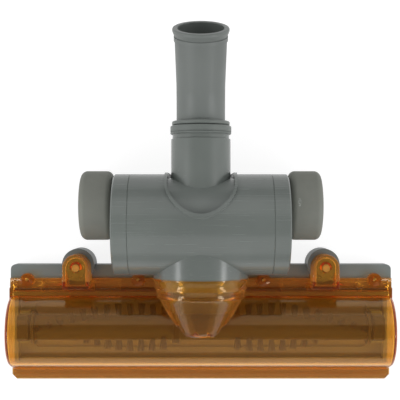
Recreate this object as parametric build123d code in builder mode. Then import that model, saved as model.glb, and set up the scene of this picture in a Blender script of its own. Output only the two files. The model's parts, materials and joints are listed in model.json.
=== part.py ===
from build123d import *
from math import acos, asin, atan2, cos, degrees, hypot, radians, sin, sqrt, tan
import os

os.makedirs("parts", exist_ok=True)

# Turbine-driven floor head for a vacuum cleaner, in millimetres.
# X runs along the head, +Y points back to the neck, +Z is up, and the floor is Z = 0.
# Places along Y are given as distances ahead of the barrel's axis or behind it.

# Barrel, which houses the turbine
barrel_r = 36.0
barrel_wall = 2.4
barrel_length = 100.5
barrel_clearance = 2.0
cap_width = 11.3
cap_plug = 5.5
cap_bevel = 1.0
cap_seam = 0.4

# Duct from the head to the barrel
duct_r = 34.0
duct_drop = 4.0
duct_wall = 2.4
duct_overlap = 7.8
spigot_step = 4.5
spigot_wall = 1.5
spigot_length = 8.0

# Tilting elbow and its slot in the barrel
tilt_range = 38.0
socket_r = 21.2
socket_end = 61.0
socket_wall = 2.6
slot_gap = 2.3
slot_rim_width = 2.0
slot_rim_height = 1.2
drum_gap = 0.4
drum_side_gap = 0.8
drum_wall = 2.2
drum_half = 27.5
drum_side_wall = 2.5
drum_flange_drop = 1.5
drum_overlap = 6.0
trunnion_r = 8.0
running_fit = 0.08

# Swivel between elbow and neck tube
ring_step = 1.0
ring_setback = 3.0
ring_seat = 4.0
ring_lip = 2.2
ring_groove_place = 1.4
ring_groove = 0.6
ring_wall = 1.55
ring_round = 1.1
socket_round = 0.7
seal_round = 0.3
swivel_gap = 0.3
neck_ring_wall = 3.3
neck_ring_width = 3.0

# Bent neck tube
mouth_bore_r = 16.2
mouth_bore_depth = 34.0
mouth_wall = 2.1
mouth_lip = 3.6
mouth_flare = 6.0
mouth_lip_width = 2.2
mouth_round = 1.2
mouth_chamfer = 0.5
mouth_bead = 0.5
mouth_bead_width = 3.0
neck_r = 17.3
neck_wall = 1.9
neck_tail = 4.0
neck_flange_setback = 1.0
neck_flange_width = 3.0
bend_angle = 25.0
bend_r = 60.0
neck_straight = 41.2

# Wheels
wheel_r = 25.0
wheel_width = 23.0
wheel_gap = 2.0
wheel_behind = 13.5
wheel_round = 4.5
tyre_thickness = 5.0
wheel_hub_face = 3.0
wheel_web = 2.0
wheel_rim_wall = 2.4
wheel_rib_count = 6
wheel_rib_thickness = 1.2
wheel_boss_proud = 1.0
wheel_pin_r = 3.0
wheel_pin_head_r = 6.0
wheel_pin_head_width = 1.5
wheel_boss_r = 9.0

# Turbine
bearing_carrier_width = 2.5
shaft_r = 1.5
shaft_clearance = 0.8
turbine_r = 24.0
turbine_width = 28.0
turbine_hub_r = 6.0
turbine_web = 1.5
turbine_blade_count = 10
turbine_blade_thickness = 1.4
turbine_blade_bow = 4.5
turbine_bearing_r = 5.0
turbine_bearing_width = 4.0
turbine_pulley_r = 4.5
pulley_flange = 1.8
pulley_flange_width = 0.9
belt_width = 4.0
belt_thickness = 1.4
belt_x = -18.0
belt_gap = 0.1

# Brush roller
roller_height = 18.4
roller_gap = 25.5
roller_end_gap = 20.0
roller_core_r = 9.25
roller_tip_r = 18.0
roller_flange_r = 12.0
roller_flange_width = 2.0
roller_waist_r = 7.5
roller_pulley_r = 10.0
tuft_count = 12
tuft_start = 27.0
tuft_end_gap = 2.8
tuft_root_r = 2.0
tuft_tip_r = 3.0
tuft_depth = 3.2
tuft_first_angle = -38.0
tuft_twist = 11.4
roller_pin_r = 2.5
roller_pin_hole_r = 1.2
roller_pin_grip = 10.0
roller_bearing_r = 6.0
roller_bearing_width = 5.0
bearing_block_width = 8.0
bearing_block_depth = 18.0
bearing_block_height = 21.0
bearing_block_gap = 2.0
bearing_block_lip = 1.0

# Base shell and its sole
head_length = 282.0
base_inset = 0.2
sole_thickness = 3.0
strip_gap = 4.3
base_wall = 2.6
strip_height = 13.0
strip_roof = 2.5
strip_roof_reach = 11.3
chamber_setback = 3.5
base_corner = 3.5
window_half = 17.0
rib_start = 60.0
rib_count = 4
rib_thickness = 1.6
front_wall_height = 9.0
sole_chamfer = 1.2

# Clear top cover
cover_wall = 2.2
cover_setback = 10.0
cover_ledge_rise = 3.0
cover_ledge_width = 6.8
cover_step_rise = 3.0
cover_edge_round = 0.6
cover_end_draft = 1.0
cover_roller_gap = 6.3
cover_arc_forward = 3.0
cover_arc_drop = 3.9
cover_foot_reach = 3.8
cover_flange_width = 6.9
cover_flange_thickness = 3.0
flange_corner = 3.5
cover_end_round = 3.0
cover_clearance = 0.2
cut_past = 1.0
collar_length = 12.7
collar_taper = 3.0
collar_bead = 0.7
collar_bead_width = 1.3
dome_end_forward = 1.0
dome_end_r = 16.0
dome_end_drop = 5.5

# Ears of the cover and the hollow posts below them
ear_outset = 3.5
ear_setback = 1.3
ear_r = 9.7
ear_wall = 2.2
ear_rise = 18.0
ear_round = 1.0
post_margin = 2.1
post_setback = 0.2
post_shoulder_rise = 7.0
post_gap = 0.3
post_bore_r = 3.2
post_hollow_r = 5.4
post_web = 2.5
peg_depth = 8.0
peg_screw_grip = 6.0

# Screws
screw_r = 1.5
screw_head_r = 3.2
screw_head_height = 1.8
screw_boss_r = 4.8
screw_boss_rise = 2.5
screw_boss_skin = 1.5
screw_tip_gap = 0.4
screw_post_r = 4.5
screw_outer_margin = 13.0
screw_inner_margin = 12.3
screw_setback = 1.1
housing_screw_x = 8.0
housing_screw_setback = 3.0
housing_boss_r = 3.6
housing_boss_height = 11.0

# Heights, radii and places that follow from the sizes above
barrel_height = barrel_r + barrel_clearance
duct_height = barrel_height - duct_drop
spigot_r = duct_r - spigot_step
cover_ledge_height = strip_height + cover_ledge_rise
cover_step_height = cover_ledge_height + cover_step_rise
cover_arc_r = roller_tip_r + cover_roller_gap + cover_wall
cover_arc_height = roller_height - cover_arc_drop
cover_flange_height = sole_thickness + cover_flange_thickness
dome_end_height = duct_height - dome_end_drop
ear_top = cover_ledge_height + ear_rise
post_shoulder = strip_height + post_shoulder_rise
post_r = ear_r + post_margin
post_upper_r = ear_r - ear_wall - post_gap
screw_boss_height = cover_ledge_height + screw_boss_rise
socket_bore_r = socket_r - socket_wall
slot_r = socket_r + slot_gap
ring_spigot_r = socket_r - ring_step
ring_r = ring_spigot_r + ring_wall
ring_start = socket_end + ring_setback
ring_spigot_end = ring_start + ring_seat
neck_ring_r = neck_r + neck_ring_wall
neck_mouth_r = mouth_bore_r + mouth_wall
mouth_lip_r = mouth_bore_r + mouth_lip
neck_flange_r = socket_bore_r - swivel_gap
neck_flange_start = socket_end - neck_flange_setback
neck_inner_start = neck_flange_start - neck_tail

# Places ahead of the barrel's axis, from the barrel's front at the strip's top to the cover's flange
barrel_front = sqrt(barrel_r**2 - (barrel_height - strip_height) ** 2)
base_rear_ahead = barrel_front + strip_gap
duct_ahead = base_rear_ahead + duct_overlap
cover_rear_ahead = base_rear_ahead + cover_setback
strip_front_ahead = base_rear_ahead + strip_roof_reach
cover_step_ahead = cover_rear_ahead + cover_ledge_width
chamber_wall_ahead = cover_step_ahead + chamber_setback
roller_ahead = chamber_wall_ahead + roller_gap
cover_arc_ahead = roller_ahead + cover_arc_forward
cover_foot_ahead = cover_arc_ahead + cover_arc_r + cover_foot_reach
cover_flange_ahead = cover_foot_ahead + cover_flange_width
base_front_ahead = cover_flange_ahead - base_inset
collar_end_ahead = duct_ahead + collar_length
collar_end_r = duct_r - collar_taper
dome_end_ahead = cover_arc_ahead + dome_end_forward
ear_ahead = base_rear_ahead + ear_setback
post_ahead = base_rear_ahead - post_setback
screw_ahead = cover_rear_ahead + screw_setback
housing_screw_ahead = duct_ahead - housing_screw_setback

# The object is centred on the origin from its front edge to the back of the mouth's lip
bend_start = ring_spigot_end + ring_lip + swivel_gap + neck_ring_width
mouth_behind = bend_start + bend_r * sin(radians(bend_angle)) + neck_straight * cos(radians(bend_angle))
mouth_rise = bend_r * (1 - cos(radians(bend_angle))) + neck_straight * sin(radians(bend_angle))
back_reach = (
    mouth_behind
    + (mouth_lip_r - mouth_round) * sin(radians(bend_angle))
    + mouth_round * (1 - cos(radians(bend_angle)))
)
barrel_y = (cover_flange_ahead - back_reach) / 2

barrel_half = barrel_length / 2
barrel_inner_r = barrel_r - barrel_wall
cap_face = barrel_half + cap_width
wheel_inner = cap_face + wheel_gap
wheel_outer = wheel_inner + wheel_width
drum_r = barrel_inner_r - drum_gap
half_length = head_length / 2
roller_core_half = half_length - roller_end_gap
tuft_pitch = (roller_core_half - tuft_end_gap - tuft_start) / (tuft_count - 1)
roller_flange_half = roller_core_half + roller_flange_width
block_start = roller_flange_half + bearing_block_gap
roller_bearing_start = block_start + bearing_block_lip
base_half = half_length - base_inset
ear_x = wheel_outer + ear_outset
screw_outer_x = half_length - screw_outer_margin
screw_inner_x = duct_r + screw_inner_margin
pivot = (0, barrel_y, barrel_height)


def ahead(distance):
    """Y of a place this far ahead of the barrel's axis."""
    return barrel_y - distance


def facing_front(distance):
    """Upright plane this far ahead of the barrel's axis, whose normal points to the front."""
    return Plane.XZ.offset(-ahead(distance))


def disc_section(radius, centre):
    """Round section in a plane across the head, as a sketch."""
    with BuildSketch() as section:
        with Locations(centre):
            Circle(radius)
    return section.sketch


def duct_section(radius, height, floor):
    """Round duct section, cut flat at its floor."""
    with BuildSketch() as section:
        with Locations((0, height)):
            Circle(radius)
        with Locations((0, floor)):
            Rectangle(4 * radius, 4 * radius, align=(Align.CENTER, Align.MIN), mode=Mode.INTERSECT)
    return section.sketch


def slot_form(radius, reach):
    """Space that a round socket sweeps out of the barrel while the neck tilts up from level."""
    with BuildPart() as form:
        for tilt in (0, tilt_range):
            direction = (0, cos(radians(tilt)), sin(radians(tilt)))
            with BuildSketch(Plane(origin=pivot, x_dir=(1, 0, 0), z_dir=direction)):
                Circle(radius)
            extrude(amount=reach)
        with BuildSketch(Plane(origin=pivot, x_dir=(1, 0, 0), z_dir=(0, 0, 1))):
            with Locations((0, reach / 2)):
                Rectangle(2 * radius, reach)
        revolve(axis=Axis(pivot, (1, 0, 0)), revolution_arc=tilt_range)
    return form.part


def save(block, name):
    """Label a finished piece and write it as its own file."""
    block.part.label = name
    export_step(block.part, "parts/" + name + ".step")


housing_screw_places = [(side * housing_screw_x, ahead(housing_screw_ahead)) for side in (-1, 1)]

# Turbine housing: the barrel and the duct are one moulding
barrel_axis = (barrel_y, barrel_height)
rim_r = slot_r + slot_rim_width
slot_reach = barrel_r + 2 * slot_rim_width
slot_end_angle = tilt_range + degrees(asin(slot_r / barrel_r))
slot_void = slot_form(slot_r, slot_reach)
rim_body = slot_form(rim_r, slot_reach)
with BuildPart() as slot_rim:
    with BuildSketch(Plane.YZ.offset(-rim_r)):
        add(disc_section(barrel_r + slot_rim_height, barrel_axis))
    extrude(amount=2 * rim_r)
    add(rim_body, mode=Mode.INTERSECT)

with BuildPart() as turbine_housing:
    with BuildSketch(Plane.YZ.offset(-barrel_half)):
        add(disc_section(barrel_r, barrel_axis))
    extrude(amount=barrel_length)
    chamfer(turbine_housing.edges().filter_by(GeomType.CIRCLE), cap_seam)
    add(slot_rim.part)
    with BuildSketch(facing_front(0)):
        add(duct_section(duct_r, duct_height, sole_thickness))
    extrude(amount=duct_ahead)
    with BuildSketch(facing_front(duct_ahead)):
        add(duct_section(spigot_r, duct_height, sole_thickness))
    extrude(amount=spigot_length)
    with BuildSketch(facing_front(0)):
        add(duct_section(duct_r - duct_wall, duct_height, sole_thickness + duct_wall))
    extrude(amount=duct_ahead - duct_wall, mode=Mode.SUBTRACT)
    with BuildSketch(facing_front(0)):
        add(duct_section(spigot_r - spigot_wall, duct_height, sole_thickness + duct_wall))
    extrude(amount=duct_ahead + spigot_length, mode=Mode.SUBTRACT)
    with BuildSketch(Plane.XY.offset(sole_thickness)):
        with Locations(housing_screw_places):
            Circle(housing_boss_r)
    extrude(amount=housing_boss_height - sole_thickness)
    with BuildSketch(Plane.XY.offset(sole_thickness)):
        with Locations(housing_screw_places):
            Circle(screw_r)
    extrude(amount=housing_boss_height - sole_thickness, mode=Mode.SUBTRACT)
    with BuildSketch(Plane.YZ.offset(-barrel_half)):
        add(disc_section(barrel_inner_r, barrel_axis))
    extrude(amount=barrel_length, mode=Mode.SUBTRACT)
    add(slot_void, mode=Mode.SUBTRACT)
save(turbine_housing, "turbine_housing")


# End caps: each plugs into the barrel and carries a wheel pin
wheel_centre = (barrel_y + wheel_behind, wheel_r)


def make_cap(side):
    """End cap for one side, -1 left or 1 right, with its wheel boss inside and out."""
    outward = Plane.YZ.offset(side * barrel_half)
    inner_half = barrel_half - cap_plug
    with BuildPart() as cap:
        with BuildSketch(outward):
            add(disc_section(barrel_r, barrel_axis))
        extrude(amount=side * cap_width)
        rims = cap.edges().filter_by(GeomType.CIRCLE).sort_by(Axis.X)
        chamfer(rims[-1 if side > 0 else 0], cap_bevel)
        chamfer(rims[0 if side > 0 else -1], cap_seam)
        with BuildSketch(Plane.YZ.offset(side * inner_half)):
            add(disc_section(barrel_inner_r, barrel_axis))
        extrude(amount=side * cap_plug)
        with BuildSketch(Plane.YZ.offset(side * inner_half)):
            add(disc_section(barrel_inner_r - barrel_wall, barrel_axis))
        extrude(amount=side * (cap_plug + cap_width - barrel_wall), mode=Mode.SUBTRACT)
        with BuildSketch(Plane.YZ.offset(side * inner_half)):
            add(disc_section(wheel_boss_r, wheel_centre))
        extrude(amount=side * (cap_plug + cap_width + wheel_boss_proud))
        with BuildSketch(Plane.YZ.offset(side * inner_half)):
            add(disc_section(wheel_pin_r, wheel_centre))
        extrude(amount=side * (cap_plug + cap_width + wheel_gap), mode=Mode.SUBTRACT)
    return cap


def make_wheel_pin(side):
    """Steel pin that carries a wheel, with a flat head outside the hub."""
    pin_start = barrel_half - cap_plug
    pin_end = wheel_outer - wheel_hub_face
    with BuildPart() as pin:
        with BuildSketch(Plane.YZ.offset(side * pin_start)):
            add(disc_section(wheel_pin_r, wheel_centre))
        extrude(amount=side * (pin_end - pin_start))
        with BuildSketch(Plane.YZ.offset(side * pin_end)):
            add(disc_section(wheel_pin_head_r, wheel_centre))
        extrude(amount=side * wheel_pin_head_width)
    return pin


def make_wheel_hub(side):
    """Hub with a recessed outer face, a boss round its pin and ribs between boss and rim."""
    hub_r = wheel_r - tyre_thickness
    web_start = wheel_inner + wheel_web
    boss_face = wheel_outer - wheel_hub_face - running_fit
    with BuildPart() as hub:
        with BuildSketch(Plane.YZ.offset(side * wheel_inner)):
            add(disc_section(hub_r, wheel_centre))
        extrude(amount=side * wheel_width)
        with BuildSketch(Plane.YZ.offset(side * web_start)):
            add(disc_section(hub_r - wheel_rim_wall, wheel_centre))
            add(disc_section(wheel_boss_r, wheel_centre), mode=Mode.SUBTRACT)
        extrude(amount=side * (wheel_outer - wheel_hub_face - web_start), mode=Mode.SUBTRACT)
        with BuildSketch(Plane.YZ.offset(side * web_start)):
            with Locations(wheel_centre):
                with PolarLocations((hub_r + wheel_boss_r - wheel_rim_wall) / 2, wheel_rib_count):
                    Rectangle(hub_r - wheel_boss_r, wheel_rib_thickness)
        extrude(amount=side * (wheel_outer - wheel_hub_face - web_start))
        with BuildSketch(Plane.YZ.offset(side * boss_face)):
            add(disc_section(hub_r - wheel_rim_wall, wheel_centre))
        extrude(amount=side * (wheel_outer - boss_face), mode=Mode.SUBTRACT)
        with BuildSketch(Plane.YZ.offset(side * wheel_inner)):
            add(disc_section(wheel_pin_r + running_fit, wheel_centre))
        extrude(amount=side * wheel_width, mode=Mode.SUBTRACT)
    return hub


def make_tyre(side):
    """Soft tyre, rounded at both shoulders."""
    with BuildPart() as tyre:
        with BuildSketch(Plane.YZ.offset(side * wheel_inner)):
            add(disc_section(wheel_r, wheel_centre))
        extrude(amount=side * wheel_width)
        fillet(tyre.edges().filter_by(GeomType.CIRCLE), min(wheel_round, tyre_thickness - running_fit))
        with BuildSketch(Plane.YZ.offset(side * wheel_inner)):
            add(disc_section(wheel_r - tyre_thickness, wheel_centre))
        extrude(amount=side * wheel_width, mode=Mode.SUBTRACT)
    return tyre


for side, side_name in ((-1, "left"), (1, "right")):
    save(make_cap(side), "end_cap_" + side_name)
    save(make_wheel_pin(side), "wheel_pin_" + side_name)
    save(make_wheel_hub(side), "wheel_hub_" + side_name)
    save(make_tyre(side), "tyre_" + side_name)


# Bearing carriers: discs in the barrel whose trunnions carry the elbow outside and the turbine inside
carrier_face = drum_half + drum_side_gap
bearing_start = drum_half - drum_side_wall - turbine_bearing_width / 2


def make_carrier(side):
    """Bearing carrier for one side, with its trunnion pointing to the middle."""
    trunnion_tip = bearing_start
    with BuildPart() as carrier:
        with BuildSketch(Plane.YZ.offset(side * carrier_face)):
            add(disc_section(barrel_inner_r, barrel_axis))
        extrude(amount=side * bearing_carrier_width)
        with BuildSketch(Plane.YZ.offset(side * trunnion_tip)):
            add(disc_section(trunnion_r, barrel_axis))
        extrude(amount=side * (carrier_face - trunnion_tip))
        with BuildSketch(Plane.YZ.offset(side * trunnion_tip)):
            add(disc_section(turbine_bearing_r, barrel_axis))
        extrude(amount=side * turbine_bearing_width, mode=Mode.SUBTRACT)
        with BuildSketch(Plane.YZ.offset(side * trunnion_tip)):
            add(disc_section(shaft_r + shaft_clearance, barrel_axis))
        extrude(amount=side * (carrier_face + bearing_carrier_width - trunnion_tip), mode=Mode.SUBTRACT)
    return carrier


def make_ring(start, width, outer_r, inner_r, centre, side):
    """Plain ring about an axis along the head, such as a bearing."""
    with BuildPart() as ring:
        with BuildSketch(Plane.YZ.offset(side * start)):
            add(disc_section(outer_r, centre))
            add(disc_section(inner_r, centre), mode=Mode.SUBTRACT)
        extrude(amount=side * width)
    return ring


for side, side_name in ((-1, "left"), (1, "right")):
    save(make_carrier(side), "bearing_carrier_" + side_name)
    turbine_bearing = make_ring(
        bearing_start, turbine_bearing_width, turbine_bearing_r, shaft_r + running_fit / 2, barrel_axis, side
    )
    save(turbine_bearing, "turbine_bearing_" + side_name)


# Turbine: shaft, bladed rotor and the small belt pulley
shaft_half = bearing_start + turbine_bearing_width
with BuildPart() as turbine_shaft:
    with BuildSketch(Plane.YZ.offset(-shaft_half)):
        add(disc_section(shaft_r, barrel_axis))
    extrude(amount=2 * shaft_half)
save(turbine_shaft, "turbine_shaft")

rotor_half = turbine_width / 2
blade_reach = turbine_r - turbine_hub_r
with BuildLine() as blade_line:
    ThreePointArc(
        (turbine_hub_r - turbine_blade_thickness, 0),
        (turbine_hub_r + blade_reach / 2, turbine_blade_bow),
        (turbine_r - turbine_blade_thickness, 0),
    )

with BuildPart() as turbine_rotor:
    with BuildSketch(Plane.YZ.offset(-rotor_half)):
        with Locations(barrel_axis):
            Circle(turbine_hub_r)
            with PolarLocations(0, turbine_blade_count):
                SlotArc(blade_line.edges()[0], turbine_blade_thickness)
            Circle(shaft_r, mode=Mode.SUBTRACT)
    extrude(amount=turbine_width)
    with BuildSketch(Plane.YZ.offset(-turbine_web / 2)):
        with Locations(barrel_axis):
            Circle(turbine_r - turbine_blade_thickness)
            Circle(shaft_r, mode=Mode.SUBTRACT)
    extrude(amount=turbine_web)
save(turbine_rotor, "turbine_rotor")


def make_pulley(centre, pitch_r, bore_r):
    """Flanged pulley for the flat belt."""
    width = belt_width + 2 * belt_gap
    with BuildPart() as pulley:
        with BuildSketch(Plane.YZ.offset(belt_x - width / 2)):
            add(disc_section(pitch_r, centre))
        extrude(amount=width)
        for start in (belt_x - width / 2 - pulley_flange_width, belt_x + width / 2):
            with BuildSketch(Plane.YZ.offset(start)):
                add(disc_section(pitch_r + pulley_flange, centre))
            extrude(amount=pulley_flange_width)
        with BuildSketch(Plane.YZ.offset(belt_x - width)):
            add(disc_section(bore_r, centre))
        extrude(amount=2 * width, mode=Mode.SUBTRACT)
    return pulley


roller_axis = (ahead(roller_ahead), roller_height)
save(make_pulley(barrel_axis, turbine_pulley_r, shaft_r), "turbine_pulley")
save(make_pulley(roller_axis, roller_pulley_r, roller_waist_r), "roller_pulley")

# Drive belt: a flat band round both pulleys
with BuildPart() as drive_belt:
    with BuildSketch(Plane.YZ.offset(belt_x - belt_width / 2)):
        for grow, how in ((belt_gap + belt_thickness, Mode.ADD), (belt_gap, Mode.SUBTRACT)):
            with BuildSketch(mode=Mode.PRIVATE) as loop:
                with Locations(barrel_axis):
                    Circle(turbine_pulley_r + grow)
                with Locations(roller_axis):
                    Circle(roller_pulley_r + grow)
                make_hull()
            add(loop.sketch, mode=how)
    extrude(amount=belt_width)
save(drive_belt, "drive_belt")


# Brush roller: the core is narrower where its pulley sits, and has a hole for each tuft
pulley_half = belt_width / 2 + belt_gap + pulley_flange_width


def tuft_plane(side, row, index, radius):
    """Plane at the foot of one tuft, whose normal points out from the roller's axis."""
    angle = radians(tuft_first_angle + 180 * row + index * tuft_twist)
    outward = (0, cos(angle), sin(angle))
    x = side * (tuft_start + index * tuft_pitch)
    foot = (x, roller_axis[0] + radius * outward[1], roller_axis[1] + radius * outward[2])
    return Plane(origin=foot, x_dir=(1, 0, 0), z_dir=outward)


with BuildPart() as roller_core:
    with BuildSketch(Plane.YZ.offset(-roller_core_half)):
        add(disc_section(roller_core_r, roller_axis))
    extrude(amount=2 * roller_core_half)
    for start in (-roller_flange_half, roller_core_half):
        with BuildSketch(Plane.YZ.offset(start)):
            add(disc_section(roller_flange_r, roller_axis))
        extrude(amount=roller_flange_width)
    with BuildSketch(Plane.YZ.offset(belt_x - pulley_half)):
        add(disc_section(roller_core_r, roller_axis))
        add(disc_section(roller_waist_r, roller_axis), mode=Mode.SUBTRACT)
    extrude(amount=2 * pulley_half, mode=Mode.SUBTRACT)
    for start in (-roller_flange_half, roller_flange_half - roller_pin_grip):
        with BuildSketch(Plane.YZ.offset(start)):
            add(disc_section(roller_pin_r, roller_axis))
        extrude(amount=roller_pin_grip, mode=Mode.SUBTRACT)
    for side in (-1, 1):
        for row in (0, 1):
            for index in range(tuft_count):
                with BuildSketch(tuft_plane(side, row, index, roller_core_r - tuft_depth)):
                    Circle(tuft_root_r)
                extrude(amount=2 * tuft_depth, mode=Mode.SUBTRACT)
save(roller_core, "roller_core")


def make_tufts(side, row):
    """One half row of bristle tufts, each a root in its hole and a brush that fans out."""
    with BuildPart() as tufts:
        for index in range(tuft_count):
            with BuildSketch(tuft_plane(side, row, index, roller_core_r - tuft_depth)):
                Circle(tuft_root_r)
            extrude(amount=tuft_depth)
            with BuildSketch(tuft_plane(side, row, index, roller_core_r)):
                Circle(tuft_root_r)
            with BuildSketch(tuft_plane(side, row, index, roller_tip_r)):
                Circle(tuft_tip_r)
            loft()
    return tufts


for side, side_name in ((-1, "left"), (1, "right")):
    for row, row_name in ((0, "a"), (1, "b")):
        save(make_tufts(side, row), "bristles_" + side_name + "_" + row_name)


def make_roller_pin(side):
    """Steel pin pressed into the roller's end, which turns in the bearing."""
    start = roller_flange_half - roller_pin_grip
    end = roller_bearing_start + roller_bearing_width
    return make_ring(start, end - start, roller_pin_r, roller_pin_hole_r, roller_axis, side)


def make_bearing_block(side):
    """Block that drops into the base and holds the roller's bearing."""
    with BuildPart() as block:
        with BuildSketch(Plane.YZ.offset(side * block_start)):
            with Locations(roller_axis):
                RectangleRounded(bearing_block_depth, bearing_block_height, base_corner)
        extrude(amount=side * bearing_block_width)
        with BuildSketch(Plane.YZ.offset(side * block_start)):
            add(disc_section(roller_pin_r + bearing_block_lip, roller_axis))
        extrude(amount=side * bearing_block_width, mode=Mode.SUBTRACT)
        with BuildSketch(Plane.YZ.offset(side * roller_bearing_start)):
            add(disc_section(roller_bearing_r, roller_axis))
        extrude(amount=side * bearing_block_width, mode=Mode.SUBTRACT)
    return block


for side, side_name in ((-1, "left"), (1, "right")):
    save(make_roller_pin(side), "roller_pin_" + side_name)
    save(make_bearing_block(side), "bearing_block_" + side_name)
    roller_bearing = make_ring(
        roller_bearing_start, roller_bearing_width, roller_bearing_r,
        roller_pin_r + running_fit / 2, roller_axis, side,
    )
    save(roller_bearing, "roller_bearing_" + side_name)


def around_barrel(angle):
    """Point well outside the barrel, at this angle up from straight back, in a plane across it."""
    reach = 3 * barrel_r
    return (barrel_axis[0] + reach * cos(radians(angle)), barrel_axis[1] + reach * sin(radians(angle)))


# Elbow: a drum that turns in the barrel, open to the duct, with a level socket for the neck
drum_cover_angle = slot_end_angle + drum_overlap
with BuildPart() as elbow:
    with BuildSketch(Plane.YZ.offset(-drum_half)):
        add(disc_section(drum_r, barrel_axis))
    extrude(amount=2 * drum_half)
    with BuildSketch(facing_front(0)):
        add(disc_section(socket_r, (0, barrel_height)))
    extrude(amount=-socket_end)
    fillet(elbow.edges().group_by(Axis.Y)[-1], socket_round)
    with BuildSketch(facing_front(0)):
        add(disc_section(ring_spigot_r, (0, barrel_height)))
    extrude(amount=-ring_spigot_end)
    with BuildSketch(Plane.YZ.offset(-drum_half + drum_side_wall)):
        add(disc_section(drum_r - drum_wall, barrel_axis))
    extrude(amount=2 * (drum_half - drum_side_wall), mode=Mode.SUBTRACT)
    with BuildSketch(Plane.YZ.offset(-drum_half)):
        with BuildLine():
            Polyline(
                barrel_axis,
                around_barrel(drum_cover_angle),
                around_barrel(180 - drum_cover_angle / 2),
                around_barrel(180 + drum_cover_angle / 2),
                around_barrel(-drum_cover_angle),
                close=True,
            )
        make_face()
        add(disc_section(drum_r - drum_wall - drum_flange_drop, barrel_axis), mode=Mode.SUBTRACT)
    extrude(amount=2 * drum_half, mode=Mode.SUBTRACT)
    with BuildSketch(facing_front(0)):
        add(disc_section(socket_bore_r, (0, barrel_height)))
    extrude(amount=-ring_spigot_end, mode=Mode.SUBTRACT)
    with BuildSketch(Plane.YZ.offset(-drum_half)):
        add(disc_section(trunnion_r + running_fit, barrel_axis))
    extrude(amount=2 * drum_half, mode=Mode.SUBTRACT)
save(elbow, "elbow")


def make_collar(steps, rounding):
    """Stepped ring about the socket's axis: each step has a start and an end behind the barrel's
    axis, an outer radius and a bore radius. The rims at both ends are rounded."""
    with BuildPart() as collar:
        for start, end, outer_r, bore_r in steps:
            with BuildSketch(facing_front(-start)):
                add(disc_section(outer_r, (0, barrel_height)))
                add(disc_section(bore_r, (0, barrel_height)), mode=Mode.SUBTRACT)
            extrude(amount=start - end)
        rims = collar.edges().filter_by(GeomType.CIRCLE).group_by(SortBy.RADIUS)[-1].sort_by(Axis.Y)
        fillet([rims[0], rims[-1]], rounding)
    return collar


ring_face = ring_spigot_end + ring_lip
neck_bore_in_ring = neck_r + swivel_gap
groove_start = ring_start + ring_groove_place
groove_end = groove_start + ring_groove
swivel_ring = make_collar((
    (ring_start, groove_start, ring_r, ring_spigot_r),
    (groove_start, groove_end, ring_r - ring_groove, ring_spigot_r),
    (groove_end, ring_spigot_end, ring_r, ring_spigot_r),
    (ring_spigot_end, ring_face, ring_r, neck_bore_in_ring),
), ring_round)
save(swivel_ring, "swivel_ring")
seal_start = neck_flange_start + neck_flange_width + swivel_gap
swivel_seal = make_collar(((seal_start, ring_spigot_end, socket_bore_r, neck_bore_in_ring),), seal_round)
save(swivel_seal, "swivel_seal")
neck_ring = make_collar(((ring_face + swivel_gap, bend_start, neck_ring_r, neck_r),), ring_round)
save(neck_ring, "neck_ring")

# Neck tube: straight through the swivel, bent upwards, and ending in a bored mouth with a lip
neck_start_point = (0, barrel_y + neck_inner_start, barrel_height)
bend_point = (0, barrel_y + bend_start, barrel_height)
mouth_direction = (0, cos(radians(bend_angle)), sin(radians(bend_angle)))
mouth_centre = Vector(0, barrel_y + mouth_behind, barrel_height + mouth_rise)


def mouth_plane(depth):
    """Plane across the neck this far inside its mouth, whose normal points out of the mouth."""
    place = mouth_centre - Vector(*mouth_direction) * depth
    return Plane(origin=place, x_dir=(1, 0, 0), z_dir=mouth_direction)


def bend_place(angle):
    """Point of the neck's centre line where it has turned up by this angle."""
    rise = bend_r * (1 - cos(radians(angle)))
    return (0, barrel_y + bend_start + bend_r * sin(radians(angle)), barrel_height + rise)


neck_bore_r = neck_r - neck_wall
with BuildPart() as neck_tube:
    with BuildLine() as neck_path:
        Line(neck_start_point, bend_point)
        ThreePointArc(bend_point, bend_place(bend_angle / 2), bend_place(bend_angle))
    with BuildSketch(facing_front(-neck_inner_start)):
        with Locations((0, barrel_height)):
            Circle(neck_r)
    sweep(path=neck_path.wires()[0])
    with BuildSketch(mouth_plane(neck_straight)):
        Circle(neck_r)
    with BuildSketch(mouth_plane(mouth_flare)):
        Circle(neck_mouth_r)
    loft()
    with BuildSketch(mouth_plane(mouth_flare)):
        Circle(neck_mouth_r)
    with BuildSketch(mouth_plane(mouth_lip_width)):
        Circle(mouth_lip_r)
    loft()
    with BuildSketch(mouth_plane(mouth_lip_width)):
        Circle(mouth_lip_r)
    extrude(amount=mouth_lip_width)
    with BuildSketch(mouth_plane(mouth_flare + mouth_bead_width)):
        Circle(neck_mouth_r + mouth_bead)
    extrude(amount=mouth_bead_width)
    with BuildSketch(facing_front(-neck_flange_start)):
        with Locations((0, barrel_height)):
            Circle(neck_flange_r)
    extrude(amount=-neck_flange_width)
    with BuildSketch(facing_front(-neck_inner_start)):
        with Locations((0, barrel_height)):
            Circle(neck_bore_r)
    sweep(path=neck_path.wires()[0], mode=Mode.SUBTRACT)
    with BuildSketch(mouth_plane(neck_straight)):
        Circle(neck_bore_r)
    extrude(amount=neck_straight - mouth_bore_depth, mode=Mode.SUBTRACT)
    with BuildSketch(mouth_plane(mouth_bore_depth)):
        Circle(mouth_bore_r)
    extrude(amount=mouth_bore_depth, mode=Mode.SUBTRACT)
    mouth_rims = neck_tube.edges().filter_by(GeomType.CIRCLE).group_by(Axis.Y)[-1].sort_by(SortBy.RADIUS)
    chamfer(mouth_rims[0], mouth_chamfer)
    fillet(mouth_rims[-1], mouth_round)
save(neck_tube, "neck_tube")

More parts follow.
